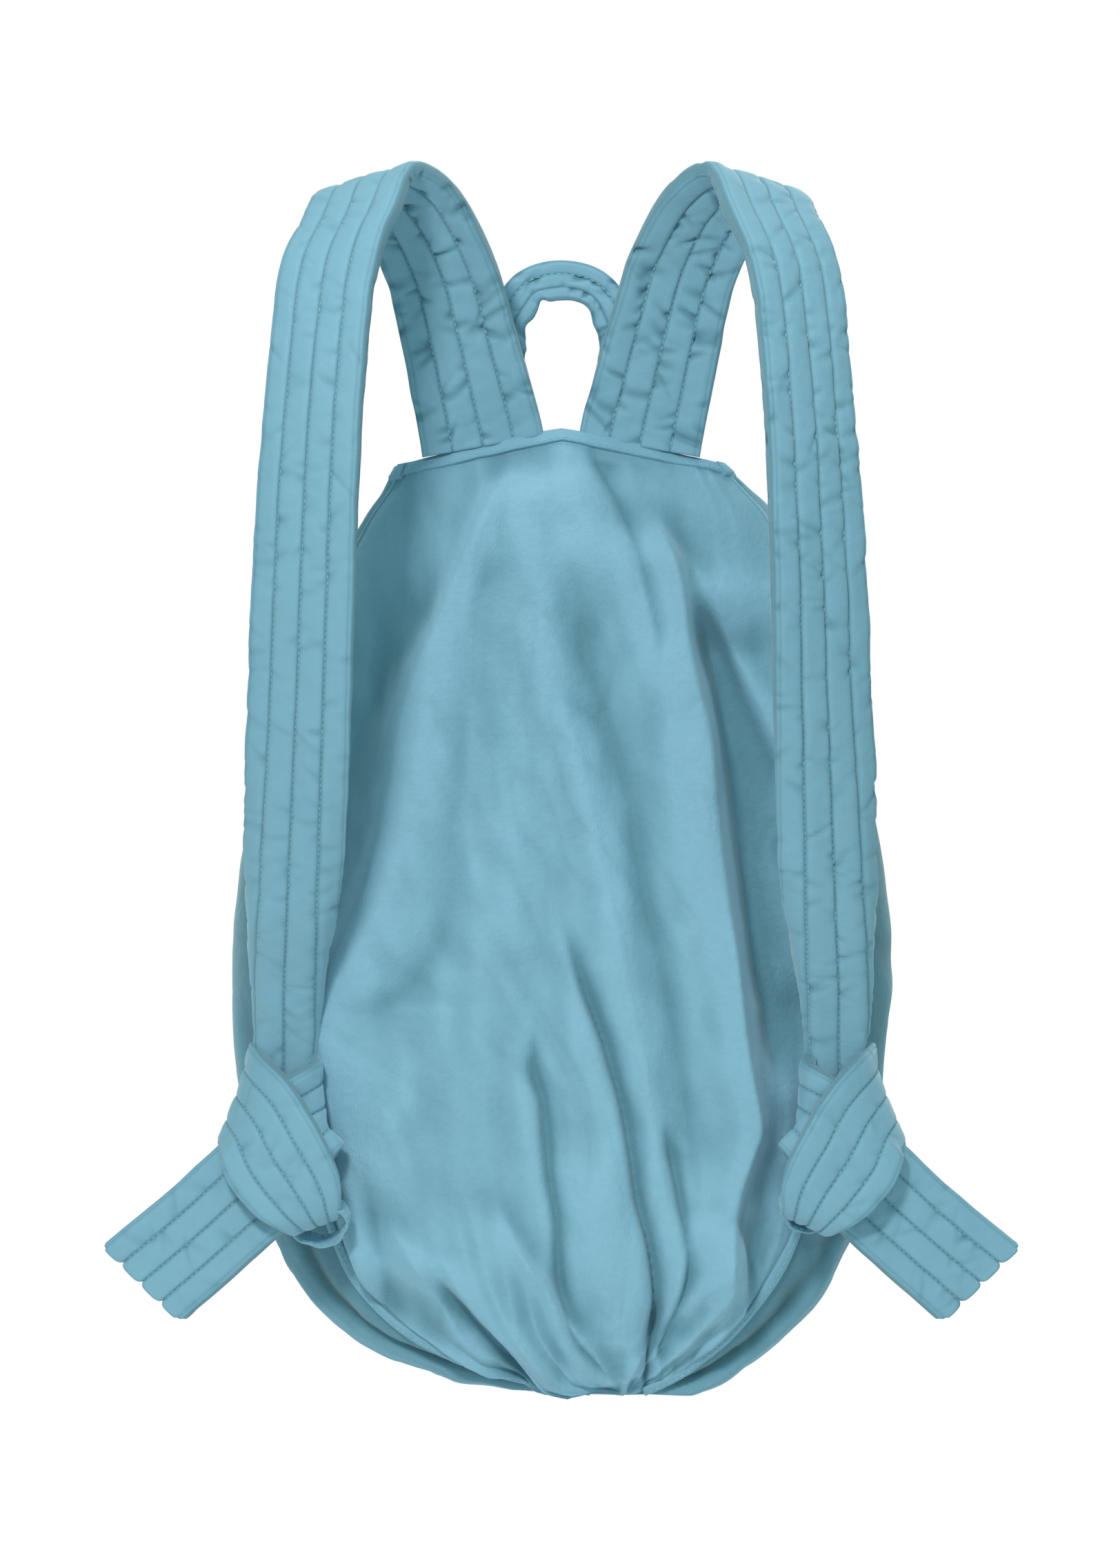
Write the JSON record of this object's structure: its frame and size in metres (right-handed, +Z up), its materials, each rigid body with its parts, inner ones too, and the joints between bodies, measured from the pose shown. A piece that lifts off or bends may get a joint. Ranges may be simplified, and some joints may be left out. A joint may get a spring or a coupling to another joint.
{
  "type": "backpack with quilted straps",
  "caption": "Gathered cloth backpack with padded, quilted shoulder straps knotted to loops in its side seams, and a carry handle.",
  "frame": {"origin": "midway between the two shoulder straps where they pass over the shoulders, level with the underside of their arches", "axes": "+Z up as worn, +X to the right seen from the wearer's back, -Y from the body of the bag towards the wearer"},
  "size_m": [0.4684, 0.2931, 0.6386],
  "materials": {
    "body_cloth": "washed matte nylon",
    "quilted_cloth": "washed matte nylon, quilted over padding",
    "trim_tape": "washed matte nylon, topstitched"
  },
  "bodies": {
    "root": {"back_panel": "body_cloth", "front_panel": "body_cloth", "top_band": "trim_tape", "carry_handle": "trim_tape", "shoulder_strap_left": "quilted_cloth", "shoulder_strap_right": "quilted_cloth", "strap_knot_left": "quilted_cloth", "strap_knot_right": "quilted_cloth", "side_loop_left": "trim_tape", "side_loop_right": "trim_tape"}
  },
  "joints": []
}
